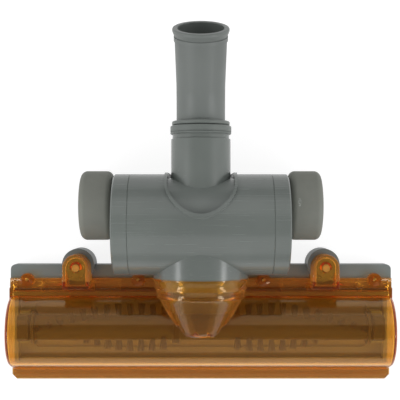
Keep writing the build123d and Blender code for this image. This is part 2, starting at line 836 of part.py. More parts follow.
# Base shell: sole, rear strip with its trough, saddle for the duct, posts and bearing seats
roller_y = roller_axis[0]
base_depth = base_front_ahead - base_rear_ahead
strip_depth = chamber_wall_ahead + base_wall - base_rear_ahead
trough_half = base_half - base_wall
trough_depth = chamber_wall_ahead - base_rear_ahead - base_wall
trough_middle = base_rear_ahead + base_wall + trough_depth / 2
rib_pitch = (trough_half - rib_start) / rib_count
screw_places = [(side * x, ahead(screw_ahead)) for side in (-1, 1) for x in (screw_inner_x, screw_outer_x)]
post_places = [(side * ear_x, ahead(post_ahead)) for side in (-1, 1)]
ear_places = [(side * ear_x, ahead(ear_ahead)) for side in (-1, 1)]
end_wall_outer = half_length - cover_wall - cover_end_draft - cover_clearance
end_wall_front = cover_arc_ahead + cover_arc_r - cover_wall - cover_clearance
block_bottom = roller_height - bearing_block_height / 2
cheek_half = bearing_block_depth / 2 + cover_clearance
post_top = ear_top - ear_wall - ear_round
screw_hole_top = screw_boss_height - screw_boss_skin
post_seat = post_top - peg_depth
post_hollow_top = post_seat - post_web
peg_start = post_seat + cover_clearance


def solid_box(x_range, ahead_range, z_range):
    """Plain block between two places along X, two distances ahead and two heights."""
    with BuildPart() as block:
        with BuildSketch(Plane.XY.offset(z_range[0])):
            with Locations(((x_range[0] + x_range[1]) / 2, ahead((ahead_range[0] + ahead_range[1]) / 2))):
                Rectangle(abs(x_range[1] - x_range[0]), ahead_range[1] - ahead_range[0])
        extrude(amount=z_range[1] - z_range[0])
    return block.part


with BuildPart() as base_shell:
    with BuildSketch(Plane.XY):
        with Locations((0, ahead((base_front_ahead + base_rear_ahead) / 2))):
            RectangleRounded(2 * base_half, base_depth, base_corner)
    extrude(amount=sole_thickness)
    chamfer(base_shell.faces().sort_by(Axis.Z)[0].edges(), sole_chamfer)
    with BuildSketch(Plane.XY.offset(sole_chamfer)) as strip:
        with Locations((0, ahead(base_rear_ahead + strip_depth / 2))):
            Rectangle(2 * base_half, strip_depth)
        fillet(strip.vertices().group_by(Axis.Y)[-1], base_corner)
    extrude(amount=strip_height - sole_chamfer)
    with BuildSketch(Plane.YZ.offset(-trough_half)):
        with BuildLine():
            Polyline(
                (ahead(base_rear_ahead + base_wall), sole_thickness),
                (ahead(base_rear_ahead + base_wall), strip_height - strip_roof),
                (ahead(strip_front_ahead), strip_height - strip_roof),
                (ahead(strip_front_ahead), strip_height + strip_roof),
                (ahead(chamber_wall_ahead), strip_height + strip_roof),
                (ahead(chamber_wall_ahead), sole_thickness),
                close=True,
            )
        make_face()
    extrude(amount=2 * trough_half, mode=Mode.SUBTRACT)
    with BuildSketch(Plane.XY.offset(sole_thickness)):
        for rib in range(rib_count):
            for side in (-1, 1):
                with Locations((side * (rib_start + rib * rib_pitch), ahead(trough_middle))):
                    Rectangle(rib_thickness, trough_depth)
    extrude(amount=strip_height - strip_roof - sole_thickness)
    for side in (-1, 1):
        add(solid_box(
            (side * (end_wall_outer - base_wall), side * end_wall_outer),
            (chamber_wall_ahead, end_wall_front),
            (sole_thickness, strip_height),
        ))
        add(solid_box(
            (side * block_start, side * (block_start + bearing_block_width)),
            (roller_ahead - cheek_half - base_wall, roller_ahead + cheek_half + base_wall),
            (sole_thickness, roller_height),
        ))
        add(solid_box(
            (side * block_start, side * (block_start + bearing_block_width)),
            (roller_ahead - cheek_half, roller_ahead + cheek_half),
            (block_bottom, roller_height),
        ), mode=Mode.SUBTRACT)
    add(solid_box(
        (-end_wall_outer, end_wall_outer),
        (end_wall_front - base_wall, end_wall_front),
        (sole_thickness, front_wall_height),
    ))
    with BuildSketch(Plane.XY.offset(sole_thickness)):
        with Locations(screw_places):
            Circle(screw_post_r)
    extrude(amount=strip_height - sole_thickness)
    with BuildSketch(Plane.XY.offset(sole_chamfer)):
        with Locations(post_places):
            Circle(post_r)
    extrude(amount=post_shoulder - sole_chamfer)
    with BuildSketch(Plane.XY.offset(post_shoulder)):
        with Locations(ear_places):
            Circle(post_upper_r)
    extrude(amount=post_top - post_shoulder)
    with BuildSketch(Plane.XY.offset(post_seat)):
        with Locations(ear_places):
            Circle(post_bore_r)
    extrude(amount=peg_depth, mode=Mode.SUBTRACT)
    with BuildSketch(Plane.XY):
        with Locations(ear_places):
            Circle(post_hollow_r)
    extrude(amount=post_hollow_top, mode=Mode.SUBTRACT)
    with BuildSketch(Plane.XY):
        with Locations(ear_places):
            Circle(screw_r + cover_clearance)
    extrude(amount=post_seat, mode=Mode.SUBTRACT)
    with BuildSketch(facing_front(base_rear_ahead - base_wall)):
        add(duct_section(duct_r + cover_clearance, duct_height, sole_thickness))
    extrude(amount=duct_ahead + cover_clearance - base_rear_ahead + base_wall, mode=Mode.SUBTRACT)
    with BuildSketch(facing_front(duct_ahead)):
        add(duct_section(spigot_r + cover_clearance, duct_height, sole_thickness))
    extrude(amount=chamber_wall_ahead + 2 * base_wall - duct_ahead, mode=Mode.SUBTRACT)
    with BuildSketch(Plane.XY):
        with Locations((0, roller_y)):
            RectangleRounded(2 * (block_start - cover_clearance), 2 * window_half, base_corner)
    extrude(amount=sole_thickness, mode=Mode.SUBTRACT)
    with BuildSketch(Plane.XY):
        with Locations(screw_places):
            Circle(screw_r + cover_clearance)
    extrude(amount=strip_height, mode=Mode.SUBTRACT)
    with BuildSketch(Plane.XY):
        with Locations(housing_screw_places):
            Circle(screw_r)
    extrude(amount=sole_thickness, mode=Mode.SUBTRACT)
    with BuildSketch(Plane.XY):
        with Locations(screw_places + housing_screw_places):
            Circle(screw_head_r + cover_clearance)
    extrude(amount=screw_head_height, mode=Mode.SUBTRACT)
save(base_shell, "base_shell")


# The cover's front wall leans: it leaves the arch as a tangent and meets the flange at its foot
foot_drop = cover_flange_height - cover_arc_height
foot_reach = cover_arc_r + cover_foot_reach
front_lean = atan2(foot_drop, foot_reach) + acos(cover_arc_r / hypot(foot_drop, foot_reach))
chamber_front = chamber_wall_ahead + base_wall + cover_clearance
flange_start = cover_foot_ahead - cover_wall / 2


def cover_arch(inset, drop):
    """Section of the clear cover, this far inside its skin: ledge, step, arch and leaning front. It
    ends this far below the strip's top and, in the brush chamber, below the sole plate's top."""
    radius = cover_arc_r - inset
    floor = sole_thickness - drop
    step_top = cover_step_height - inset
    ledge_top = cover_ledge_height - inset
    arc_start = cover_arc_ahead - sqrt(radius**2 - (step_top - cover_arc_height) ** 2)
    arc_end = (
        ahead(cover_arc_ahead + radius * cos(front_lean)),
        cover_arc_height + radius * sin(front_lean),
    )
    foot = cover_foot_ahead + (cover_flange_height - floor) * tan(front_lean) - inset / cos(front_lean)
    with BuildSketch() as arch:
        with BuildLine():
            Polyline(
                arc_end,
                (ahead(foot), floor),
                (ahead(chamber_front - drop), floor),
                (ahead(chamber_front - drop), strip_height - drop),
                (ahead(cover_rear_ahead + inset), strip_height - drop),
                (ahead(cover_rear_ahead + inset), ledge_top),
                (ahead(cover_step_ahead + inset), ledge_top),
                (ahead(cover_step_ahead + inset), step_top),
                (ahead(arc_start), step_top),
            )
            ThreePointArc(
                (ahead(arc_start), step_top),
                (ahead(cover_arc_ahead), cover_arc_height + radius),
                arc_end,
            )
        make_face()
        columns = arch.vertices().group_by(Axis.X)
        fillet([columns[place].sort_by(Axis.Y)[-1] for place in (-1, -2)], cover_edge_round)
    return arch.sketch


def arch_form(inset, drop):
    """Ledge, step and arch along the head. Both ends lean inwards by the draft, with a rounded rim."""
    with BuildPart() as form:
        with BuildSketch(Plane.YZ.offset(inset - half_length)):
            add(cover_arch(inset, drop))
        extrude(amount=head_length - 2 * inset)
        for side in (-1, 1):
            foot = (side * (half_length - inset), 0, sole_thickness - drop)
            lean = (side * (cover_arc_height + cover_arc_r - sole_thickness), 0, cover_end_draft)
            split(bisect_by=Plane(origin=foot, z_dir=lean), keep=Keep.BOTTOM)
        rims = form.edges().filter_by(GeomType.ELLIPSE).sort_by(SortBy.LENGTH)[-2:]
        fillet(rims, max(cover_end_round - inset, cover_edge_round))
    return form.part


def dome_form(inset, floor):
    """Tapered collar round the duct and the dome that falls from it to the arch, above a floor."""
    with BuildPart() as form:
        with BuildSketch(facing_front(duct_ahead)):
            with Locations((0, duct_height)):
                Circle(duct_r - inset)
        with BuildSketch(facing_front(collar_end_ahead)):
            with Locations((0, duct_height)):
                Circle(collar_end_r - inset)
        loft()
        with BuildSketch(facing_front(collar_end_ahead)):
            with Locations((0, duct_height)):
                Circle(collar_end_r - inset)
        with BuildSketch(facing_front(dome_end_ahead - inset)):
            with Locations((0, dome_end_height)):
                Circle(dome_end_r - inset)
        loft()
        split(bisect_by=Plane.XY.offset(floor), keep=Keep.TOP)
    return form.part


def ear_form(inset, floor, top):
    """Both ears of the cover, each round at the back and running forward to the cover's step."""
    reach = cover_step_ahead - inset - ear_ahead
    with BuildPart() as ears:
        with BuildSketch(Plane.XY.offset(floor)):
            for x, y in ear_places:
                with Locations((x, y)):
                    Circle(ear_r - inset)
                with Locations((x, y - reach / 2)):
                    Rectangle(2 * (ear_r - inset), reach)
        extrude(amount=top - floor)
        fillet(ears.faces().group_by(Axis.Z)[-1].edges(), ear_round)
    return ears.part


def collar_radius(distance):
    """Outer radius of the tapered collar at this distance ahead."""
    share = (distance - duct_ahead) / (collar_end_ahead - duct_ahead)
    return duct_r + share * (collar_end_r - duct_r)


outer_dome = dome_form(0, strip_height)
inner_dome = dome_form(cover_wall, strip_height - cut_past)
outer_ears = ear_form(0, strip_height, ear_top)
inner_ears = ear_form(ear_wall, strip_height - cut_past, ear_top - ear_wall)
collar_middle = (duct_ahead + collar_end_ahead) / 2

with BuildPart() as top_cover:
    add(arch_form(0, 0))
    add(outer_dome)
    for bead_start in (duct_ahead, collar_middle, collar_end_ahead):
        with BuildSketch(facing_front(bead_start)):
            add(duct_section(collar_radius(bead_start) + collar_bead, duct_height, strip_height))
        extrude(amount=collar_bead_width)
    add(outer_ears)
    with BuildSketch(Plane.XY.offset(strip_height)):
        with Locations(screw_places):
            Circle(screw_boss_r)
    extrude(amount=screw_boss_height - strip_height)
    add(arch_form(cover_wall, cut_past), mode=Mode.SUBTRACT)
    add(inner_dome, mode=Mode.SUBTRACT)
    add(inner_ears, mode=Mode.SUBTRACT)
    with BuildSketch(Plane.XY.offset(peg_start)):
        with Locations(ear_places):
            Circle(post_bore_r - cover_clearance)
            Circle(screw_r, mode=Mode.SUBTRACT)
    extrude(amount=peg_screw_grip)
    with BuildSketch(Plane.XY.offset(peg_start + peg_screw_grip)):
        with Locations(ear_places):
            Circle(post_bore_r - cover_clearance)
    extrude(amount=ear_top - ear_wall - peg_start - peg_screw_grip)
    with BuildSketch(Plane.XY.offset(strip_height)):
        with Locations(screw_places):
            Circle(screw_boss_r)
    extrude(amount=screw_boss_height - strip_height)
    with BuildSketch(Plane.XY.offset(strip_height - cut_past)):
        with Locations(post_places):
            Circle(post_r + cover_clearance)
    extrude(amount=post_shoulder - strip_height + cut_past, mode=Mode.SUBTRACT)
    with BuildSketch(Plane.XY.offset(sole_thickness)) as flange:
        with Locations((0, ahead((cover_flange_ahead + flange_start) / 2))):
            Rectangle(head_length, cover_flange_ahead - flange_start)
        chamfer(flange.vertices().group_by(Axis.Y)[0], flange_corner)
    extrude(amount=cover_flange_height - sole_thickness)
    with BuildSketch(Plane.XY.offset(strip_height)):
        with Locations(screw_places):
            Circle(screw_r)
    extrude(amount=screw_hole_top - strip_height, mode=Mode.SUBTRACT)
save(top_cover, "top_cover")


def make_screws(places, head_bottom, head_top, tip):
    """Screws driven in from below, each with a head between two heights and a shank up to its tip."""
    with BuildPart() as screws:
        with BuildSketch(Plane.XY.offset(head_bottom)):
            with Locations(places):
                Circle(screw_head_r)
        extrude(amount=head_top - head_bottom)
        with BuildSketch(Plane.XY.offset(head_top)):
            with Locations(places):
                Circle(screw_r)
        extrude(amount=tip - head_top)
    return screws


# Screws: four through the sole into the cover's bosses, two up the posts into its pegs, two for the housing
screw_tip = screw_hole_top - screw_tip_gap
save(make_screws(screw_places, cover_clearance, screw_head_height, screw_tip), "cover_screws")
ear_screw_tip = peg_start + peg_screw_grip - screw_tip_gap
ear_screw_head = post_hollow_top - screw_head_height
save(make_screws(ear_places, ear_screw_head, post_hollow_top, ear_screw_tip), "ear_screws")
housing_screws = make_screws(housing_screw_places, cover_clearance, screw_head_height, housing_boss_height)
save(housing_screws, "housing_screws")
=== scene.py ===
# %% [markdown]
# A turbine-driven floor head for a vacuum cleaner, seen from straight above.
# Its casing, wheels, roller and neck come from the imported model, at their real size and place.
# This script gives every piece its finish, models what is too fine for the solids, such as
# bristles and screw heads, and lights the head as on a white table.

# %% Load the frame
import json
import random
from math import cos, pi, radians, sin

import bmesh
import bpy
from mathutils import Matrix, Vector


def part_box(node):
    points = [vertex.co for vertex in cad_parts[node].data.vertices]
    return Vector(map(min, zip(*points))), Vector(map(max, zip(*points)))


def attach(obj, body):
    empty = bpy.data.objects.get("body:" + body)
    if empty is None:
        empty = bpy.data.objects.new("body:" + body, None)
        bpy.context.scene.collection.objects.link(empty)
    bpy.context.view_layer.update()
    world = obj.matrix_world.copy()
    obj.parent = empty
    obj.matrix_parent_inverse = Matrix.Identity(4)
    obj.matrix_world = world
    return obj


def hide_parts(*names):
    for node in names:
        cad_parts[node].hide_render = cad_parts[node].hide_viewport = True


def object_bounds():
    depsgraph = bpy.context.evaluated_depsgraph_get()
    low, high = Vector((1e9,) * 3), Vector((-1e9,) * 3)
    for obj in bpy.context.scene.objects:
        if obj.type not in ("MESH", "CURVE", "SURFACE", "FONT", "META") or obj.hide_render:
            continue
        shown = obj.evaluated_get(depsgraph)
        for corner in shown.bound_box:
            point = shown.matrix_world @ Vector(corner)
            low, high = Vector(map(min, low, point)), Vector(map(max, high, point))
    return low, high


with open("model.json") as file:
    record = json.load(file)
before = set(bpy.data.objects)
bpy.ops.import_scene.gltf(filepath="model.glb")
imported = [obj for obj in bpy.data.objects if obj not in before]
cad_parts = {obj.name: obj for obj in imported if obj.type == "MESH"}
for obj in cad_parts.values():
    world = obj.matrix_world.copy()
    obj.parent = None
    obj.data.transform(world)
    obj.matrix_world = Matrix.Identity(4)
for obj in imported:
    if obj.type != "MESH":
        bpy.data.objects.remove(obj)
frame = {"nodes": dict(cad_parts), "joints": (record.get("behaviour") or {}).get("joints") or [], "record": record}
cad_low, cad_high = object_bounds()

mm = 0.001
box_sides = [round((high - low) / mm, 1) for low, high in zip(cad_low, cad_high)]
print("CAD box in millimetres:", box_sides)

# %% [markdown]
# New pieces are shaped in a bmesh and become objects at the end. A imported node's mesh is loose
# triangles, so a copy of it is merged at its corners before anything follows its faces.

# %% Helpers for meshes and objects
merge_distance = 0.001 * mm


def merge_corners(mesh):
    bmesh.ops.remove_doubles(mesh, verts=mesh.verts, dist=merge_distance)


def linked(name, data):
    """A new object in the scene around a mesh, a lamp or a camera."""
    made = bpy.data.objects.new(name, data)
    bpy.context.scene.collection.objects.link(made)
    return made


def shaped(name, mesh):
    """A new object in the scene from a bmesh, which is freed."""
    data = bpy.data.meshes.new(name)
    mesh.to_mesh(data)
    mesh.free()
    return linked(name, data)


def loose_parts(node):
    """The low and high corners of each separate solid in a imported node."""
    mesh = bmesh.new()
    mesh.from_mesh(node.data)
    merge_corners(mesh)
    waiting = set(mesh.verts)
    found = []
    while waiting:
        group = [waiting.pop()]
        for corner in group:
            fresh = {edge.other_vert(corner) for edge in corner.link_edges} & waiting
            waiting -= fresh
            group.extend(fresh)
        places = [corner.co for corner in group]
        low = Vector([min(place[axis] for place in places) for axis in range(3)])
        high = Vector([max(place[axis] for place in places) for axis in range(3)])
        found.append((low, high))
    mesh.free()
    return found


print("Helpers ready, corners merge within", merge_distance / mm, "mm")

# %% [markdown]
# The joints' places are the best landmarks on a machine: the tilt joint lies on the barrel's axis,
# and the roller's joint on the roller's. New pieces are placed from them, and the painted glow over
# the ears' pegs from the screw under the right ear.

# %% Landmarks
bore_margin = 0.5 * mm

joint_place = {joint["name"]: Vector(joint["pos_m"]) for joint in frame["joints"]}
barrel_axis = joint_place["neck_tilt"]
roller_axis = joint_place["roller_spin"]
right_axle = joint_place["wheel_right_spin"]
mouth = next(mount for mount in frame["record"]["mounts"] if mount["name"] == "neck_mouth")
bore_r = mouth["dims"]["r_mm"] * mm + bore_margin
ear_screw_boxes = loose_parts(frame["nodes"]["ear_screws"])
ear_peg = max(((low + high) / 2 for low, high in ear_screw_boxes), key=lambda place: place.x)
print("Barrel axis", tuple(barrel_axis), "roller axis", tuple(roller_axis))
print("Right ear's peg at", tuple(round(value, 4) for value in ear_peg))

# %% [markdown]
# The head is seen from about 0.7 m straight above, with its front edge at the bottom of the
# picture. A camera without any turn already looks down with +Y at the top of its picture, so
# only its place and its lens are set. The optical axis falls a little behind the barrel's axis.

# %% Camera
camera_height = 680 * mm
camera_behind_barrel = 17.5 * mm
camera_aside = -0.6 * mm

camera_data = bpy.data.cameras.new("camera")
camera_data.lens = 81.0
camera_data.sensor_width = 36.0
camera = linked("camera", camera_data)
camera.location = (camera_aside, barrel_axis.y + camera_behind_barrel, camera_height)
bpy.context.scene.camera = camera
print("Camera at", tuple(round(value, 4) for value in camera.location))

# %% [markdown]
# Maths on sockets reads best as plain Python. This small class wraps one output socket and
# overloads the operators: an expression such as 1 - mask * 0.5 then adds its Math nodes by itself.

# %% Sockets with operators
class Wire:
    """An output socket of a material, on which Python's operators add Math nodes."""

    def __init__(self, paint, socket):
        self.paint = paint
        self.socket = socket

    def math(self, operation, *values):
        return self.paint.node("ShaderNodeMath", {"operation": operation}, dict(enumerate(values)))

    def __add__(self, other):
        return self.math("ADD", self, other)

    __radd__ = __add__

    def __sub__(self, other):
        return self.math("SUBTRACT", self, other)

    def __rsub__(self, other):
        return self.math("SUBTRACT", other, self)

    def __mul__(self, other):
        return self.math("MULTIPLY", self, other)

    __rmul__ = __mul__

    def __truediv__(self, other):
        return self.math("DIVIDE", self, other)

    def __pow__(self, other):
        return self.math("POWER", self, other)

    def above(self, limit):
        return self.math("GREATER_THAN", self, limit)

    def below(self, limit):
        return self.math("LESS_THAN", self, limit)

    def at_most(self, limit):
        return self.math("MINIMUM", self, limit)

    def at_least(self, limit):
        return self.math("MAXIMUM", self, limit)

    def absolute(self):
        return self.math("ABSOLUTE", self)

    def smooth(self, low, high, at_low=0.0, at_high=1.0):
        """Eases from at_low to at_high while the value goes from low to high."""
        settings = {"interpolation_type": "SMOOTHSTEP"}
        values = dict(enumerate((self, low, high, at_low, at_high)))
        return self.paint.node("ShaderNodeMapRange", settings, values)


print("Sockets take + - * / ** and comparisons")

# %% [markdown]
# A material is a tree of nodes. One class holds the tree, and one of its methods adds any node, so
# that a finish below reads as a recipe. Every pattern is laid in object space, where a millimetre
# is a millimetre on all pieces, and colours are written as they look on a screen.

# %% Materials in the making
finishes = {}


class Paint:
    """A material in the making, with one method that adds any node."""

    def __init__(self, name):
        self.name = name
        self.material = bpy.data.materials.new(name)
        self.material.use_nodes = True
        self.tree = self.material.node_tree
        self.tree.nodes.clear()
        self.output = self.tree.nodes.new("ShaderNodeOutputMaterial")
        self.place = self.node("ShaderNodeTexCoord", output="Object")

    def node(self, kind, settings=None, values=None, output=0):
        """Adds a node: its settings first, then the values or links of its input sockets."""
        made = self.tree.nodes.new(kind)
        for name, value in (settings or {}).items():
            setattr(made, name, value)
        for name, value in (values or {}).items():
            if isinstance(value, Wire):
                self.tree.links.new(value.socket, made.inputs[name])
            elif value is not None:
                made.inputs[name].default_value = value
        return Wire(self, made.outputs[output])

    def about(self, centre, direction):
        """Place along a straight axis, and distance from it, as two wires in metres."""
        def vectors(operation, first, second, output=0):
            settings = {"operation": operation}
            return self.node("ShaderNodeVectorMath", settings, {0: first, 1: second}, output)
        offset = vectors("SUBTRACT", self.place, tuple(centre))
        along = vectors("DOT_PRODUCT", offset, tuple(direction), output=1)
        across = vectors("CROSS_PRODUCT", offset, tuple(direction))
        return along, vectors("LENGTH", across, None, output=1)

    def noise(self, scale, detail=2.0, roughness=0.5, stretch=None):
        """Noise in object space: scale counts its lumps in a metre."""
        place = self.place
        if stretch:
            place = self.node("ShaderNodeMapping", values={"Vector": place, "Scale": stretch})
        values = {"Vector": place, "Scale": scale, "Detail": detail, "Roughness": roughness}
        return self.node("ShaderNodeTexNoise", values=values)

    def axes(self):
        """The three object coordinates as separate wires, in metres."""
        split = self.node("ShaderNodeSeparateXYZ", values={0: self.place})
        return [Wire(self, split.socket.node.outputs[index]) for index in range(3)]

    def mix(self, factor, first, second):
        """Blends two colours, each a wire or a plain (r, g, b)."""
        ends = [end if isinstance(end, Wire) else (*end, 1.0) for end in (first, second)]
        settings = {"data_type": "RGBA", "clamp_factor": True}
        return self.node("ShaderNodeMix", settings, {0: factor, 6: ends[0], 7: ends[1]}, output=2)

    def mix_shaders(self, factor, first, second):
        return self.node("ShaderNodeMixShader", values={0: factor, 1: first, 2: second})

    def bump(self, height, distance):
        """Bump whose height map, from 0 to 1, stands for a real depth in metres."""
        values = {"Height": height, "Distance": distance, "Strength": 1.0}
        return self.node("ShaderNodeBump", values=values)

    def principled(self, **values):
        """The main shader. A name's underscores stand for the blanks in a socket's name."""
        return self.node("ShaderNodeBsdfPrincipled", values={
            name.replace("_", " "): value for name, value in values.items()
        })

    def finish(self, surface, volume=None):
        self.tree.links.new(surface.socket, self.output.inputs["Surface"])
        if volume:
            self.tree.links.new(volume.socket, self.output.inputs["Volume"])
        finishes[self.name] = self.material
        return self.material


def linear(red, green, blue):
    """A screen colour, 0 to 255, as the linear values that a shader takes."""
    def one(value):
        share = value / 255
        return share / 12.92 if share <= 0.04045 else ((share + 0.055) / 1.055) ** 2.4
    return (one(red), one(green), one(blue))


def toned(colour, share):
    """The colour made darker by a share below 1, or lighter by one above."""
    return tuple(share * value for value in colour)


print("Shader toolkit ready")

# %% [markdown]
# The casing is moulded in a satin grey with a breath of green. Real mouldings are never one flat
# colour: the plastic's flow leaves faint clouds, handling leaves patches that shine a little more,
# and the spark-eroded mould leaves a fine grain. The greys differ in shade and in gloss, and
# polishing the mould has left hair lines along the barrel and along the neck.

# %% Moulded plastics
cloud_scale = 18.0
cloud_dark = 0.93
cloud_light = 1.07
handled_scale = 2.3 * cloud_scale
handled_gloss = 0.16
grain_pitch = 0.45 * mm
grain_depth = 0.012 * mm
grain_gloss = 0.05
line_scale = 850.0
line_light = 1.22
line_share = 0.35
line_gloss = 0.08
along_barrel = (0.03, 1.0, 1.0)
along_neck = (1.0, 0.03, 0.12)
# Painted shade inside the neck's mouth: where it begins, where it is full, its share and its tone.
painted_shade_begins = -1 * mm
painted_shade_full = -18 * mm
painted_shade_share = 0.55
painted_shade_dark = 0.3


def moulded_plastic(name, colour, roughness, grain=1.0, lines=None, shaded=False):
    """Satin plastic with faint clouds, handled patches, a fine grain and, where asked, hair lines.
    A shaded one has painted shade inside the neck's mouth, darker deeper in."""
    paint = Paint(name)
    clouds = paint.noise(cloud_scale, detail=3.0)
    handled = paint.noise(handled_scale, detail=4.0, roughness=0.6)
    specks = paint.noise(1 / grain_pitch, detail=2.0)
    base = paint.mix(clouds.smooth(0.3, 0.7), toned(colour, cloud_dark), toned(colour, cloud_light))
    gloss = roughness + (handled - 0.5) * handled_gloss + (specks - 0.5) * grain_gloss
    if lines:
        hairs = paint.noise(line_scale, detail=4.0, roughness=0.7, stretch=lines)
        base = paint.mix(hairs.smooth(0.56, 0.74) * line_share, base, toned(colour, line_light))
        gloss = gloss + hairs.smooth(0.5, 0.7) * line_gloss
    # Painted shade: the bore of the neck's mouth is darkened, more so deeper in, in place of the shade that falls
    # there.
    if shaded:
        along, radius = paint.about(mouth["pos_m"], mouth["axis"])
        painted_shade = along.smooth(painted_shade_full, painted_shade_begins, painted_shade_share, 0.0) * radius.below(bore_r)
        base = paint.mix(painted_shade, base, toned(colour, painted_shade_dark))
    shader = paint.principled(
        Base_Color=base, Roughness=gloss, Normal=paint.bump(specks, grain_depth * grain),
    )
    return paint.finish(shader)


moulded_plastic("grey_gloss", linear(113, 119, 115), 0.22, grain=0.4, lines=along_barrel)
moulded_plastic("elbow_gloss", linear(115, 121, 117), 0.25, grain=0.4)
moulded_plastic("neck_plastic", linear(113, 118, 115), 0.44, grain=0.6, lines=along_neck, shaded=True)
moulded_plastic("ring_plastic", linear(112, 118, 114), 0.42, grain=0.6)
moulded_plastic("base_plastic", linear(121, 128, 126), 0.45)
moulded_plastic("hub_plastic", linear(96, 100, 97), 0.5)
moulded_plastic("inner_plastic", linear(44, 44, 45), 0.42)
moulded_plastic("roller_plastic", linear(48, 47, 46), 0.4, grain=0.5)
print("Moulded plastics made:", len(finishes))

# %% [markdown]
# The wheels' tyres are a soft grey rubber. Rubber scatters light evenly, has fine dust in its
# pores, and is rubbed paler in patches. The right tyre has a small pale scuff, drawn as an ellipse
# that noise breaks up. The felt seal is as matte and dusty, so it is made here too.

# %% Rubber and felt
rubber_cloud_scale = 45.0
rubber_dark = 0.92
pore_pitch = 0.35 * mm
pore_depth = 0.03 * mm
pore_gloss = 0.1
rubbed_scale = 160.0
rubbed_share = 0.35
rubbed_gloss = 0.05
scuff_from_axle = Vector((-5.8 * mm, 2.5 * mm, 0))
scuff_width = 1.2 * mm
scuff_length = 3.4 * mm
scuff_scale = 900.0
scuff_share = 0.8
scuff_colour = linear(196, 198, 194)


def scuff(paint):
    """A small pale scuff on the top of the right tyre."""
    x, y, z = paint.axes()
    place = right_axle + scuff_from_axle
    aside, ahead = (x - place.x) / scuff_width, (y - place.y) / scuff_length
    mark = (aside * aside + ahead * ahead).smooth(0.5, 1.0, 1.0, 0.0)
    return mark * z.above(place.z) * paint.noise(scuff_scale, detail=4.0).smooth(0.42, 0.6)


def soft_rubber(name, colour, roughness, dust, scuffed=False):
    """Matte rubber or felt with pores, a little dust and, where asked, a scuff."""
    paint = Paint(name)
    clouds = paint.noise(rubber_cloud_scale, detail=5.0, roughness=0.6)
    pores = paint.noise(1 / pore_pitch, detail=3.0, roughness=0.7)
    rubbed = paint.noise(rubbed_scale, detail=6.0, roughness=0.7).smooth(0.55, 0.75)
    base = paint.mix(clouds.smooth(0.35, 0.65), toned(colour, rubber_dark), colour)
    base = paint.mix(rubbed * rubbed_share, base, dust)
    if scuffed:
        base = paint.mix(scuff(paint) * scuff_share, base, scuff_colour)
    shader = paint.principled(
        Base_Color=base, Roughness=roughness + (pores - 0.5) * pore_gloss + rubbed * rubbed_gloss,
        Specular_IOR_Level=0.35, Normal=paint.bump(pores, pore_depth),
    )
    return paint.finish(shader)


soft_rubber("tyre_rubber", linear(137, 139, 131), 0.62, linear(148, 146, 132), scuffed=True)
soft_rubber("belt_rubber", linear(34, 34, 34), 0.6, linear(60, 60, 58))
soft_rubber("seal_felt", linear(70, 70, 68), 0.9, linear(96, 95, 90))
print("Rubber and felt made, finishes so far:", len(finishes))

# %% [markdown]
# Pins are turned steel, screws are zinc plated, and the bearings are oiled bronze bushes. Turning
# leaves rings about the axis, so the noise that roughens a pin is drawn out along its path.

# %% Metals
mark_pitch = 0.3 * mm
mark_depth = 0.004 * mm
mark_gloss = 0.2
stain_scale = 220.0
stain_share = 0.4
stain_dark = 0.7


def worked_metal(name, colour, roughness, stretch):
    """Bare metal with fine marks from the tool."""
    paint = Paint(name)
    marks = paint.noise(1 / mark_pitch, detail=3.0, stretch=stretch)
    stains = paint.noise(stain_scale, detail=4.0)
    base = paint.mix(stains.smooth(0.4, 0.7) * stain_share, colour, toned(colour, stain_dark))
    shader = paint.principled(
        Base_Color=base, Metallic=1.0, Roughness=roughness + (marks - 0.5) * mark_gloss,
        Normal=paint.bump(marks, mark_depth),
    )
    return paint.finish(shader)


worked_metal("pin_steel", linear(196, 196, 192), 0.3, (1.0, 0.08, 0.08))
worked_metal("screw_steel", linear(190, 188, 180), 0.35, (1.0, 1.0, 1.0))
worked_metal("bronze", linear(176, 130, 74), 0.4, (1.0, 0.1, 0.1))
print("Metals made, finishes so far:", len(finishes))

# %% [markdown]
# The cover is clear amber plastic. What makes it look thick is the light that it swallows inside:
# a wall seen face on is a light orange, and an edge seen along its length is a deep red-brown. So
# the colour goes into the volume as absorption, and the surface stays clear and only mirrors and
# bends light. Lamps reach what is behind through a tinted pane that stands in for shadow rays.
# The plastic is a little hazy too, and an orange scatter stands for that haze. Where a wall is seen
# edge on it takes a larger share, partly haze and partly painted glow in place of light piped along
# the wall. The flat rims and the ears' walls get painted glow in the same orange, in place of the
# light that they gather from their edges, and so do round spots over the pegs in the ears.

# %% Clear amber
amber_density = 480.0
amber_body = (0.965, 0.725, 0.03)
amber_skin = (1.0, 0.94, 0.72)
amber_mirror = (1.0, 0.86, 0.62)
amber_shadow = (0.96, 0.94, 0.88)
amber_haze_and_glow = (0.93, 0.45, 0.09)
smear_scale = 60.0
smear_gloss = 0.05
haze_face_on = 0.04
haze_and_glow_edge_on = 0.20
rim_height = 16.2 * mm
rim_reach = 28.0 * mm
rim_fade = 4.0 * mm
flat_rim_painted_glow = 0.09
ear_r = 9.7 * mm
ear_wall = 2.2 * mm
ear_margin = 1.0 * mm
ear_wall_painted_glow = 0.24
spot_r = 3.2 * mm
spot_fade = 0.9 * mm
peg_painted_glow = 0.46


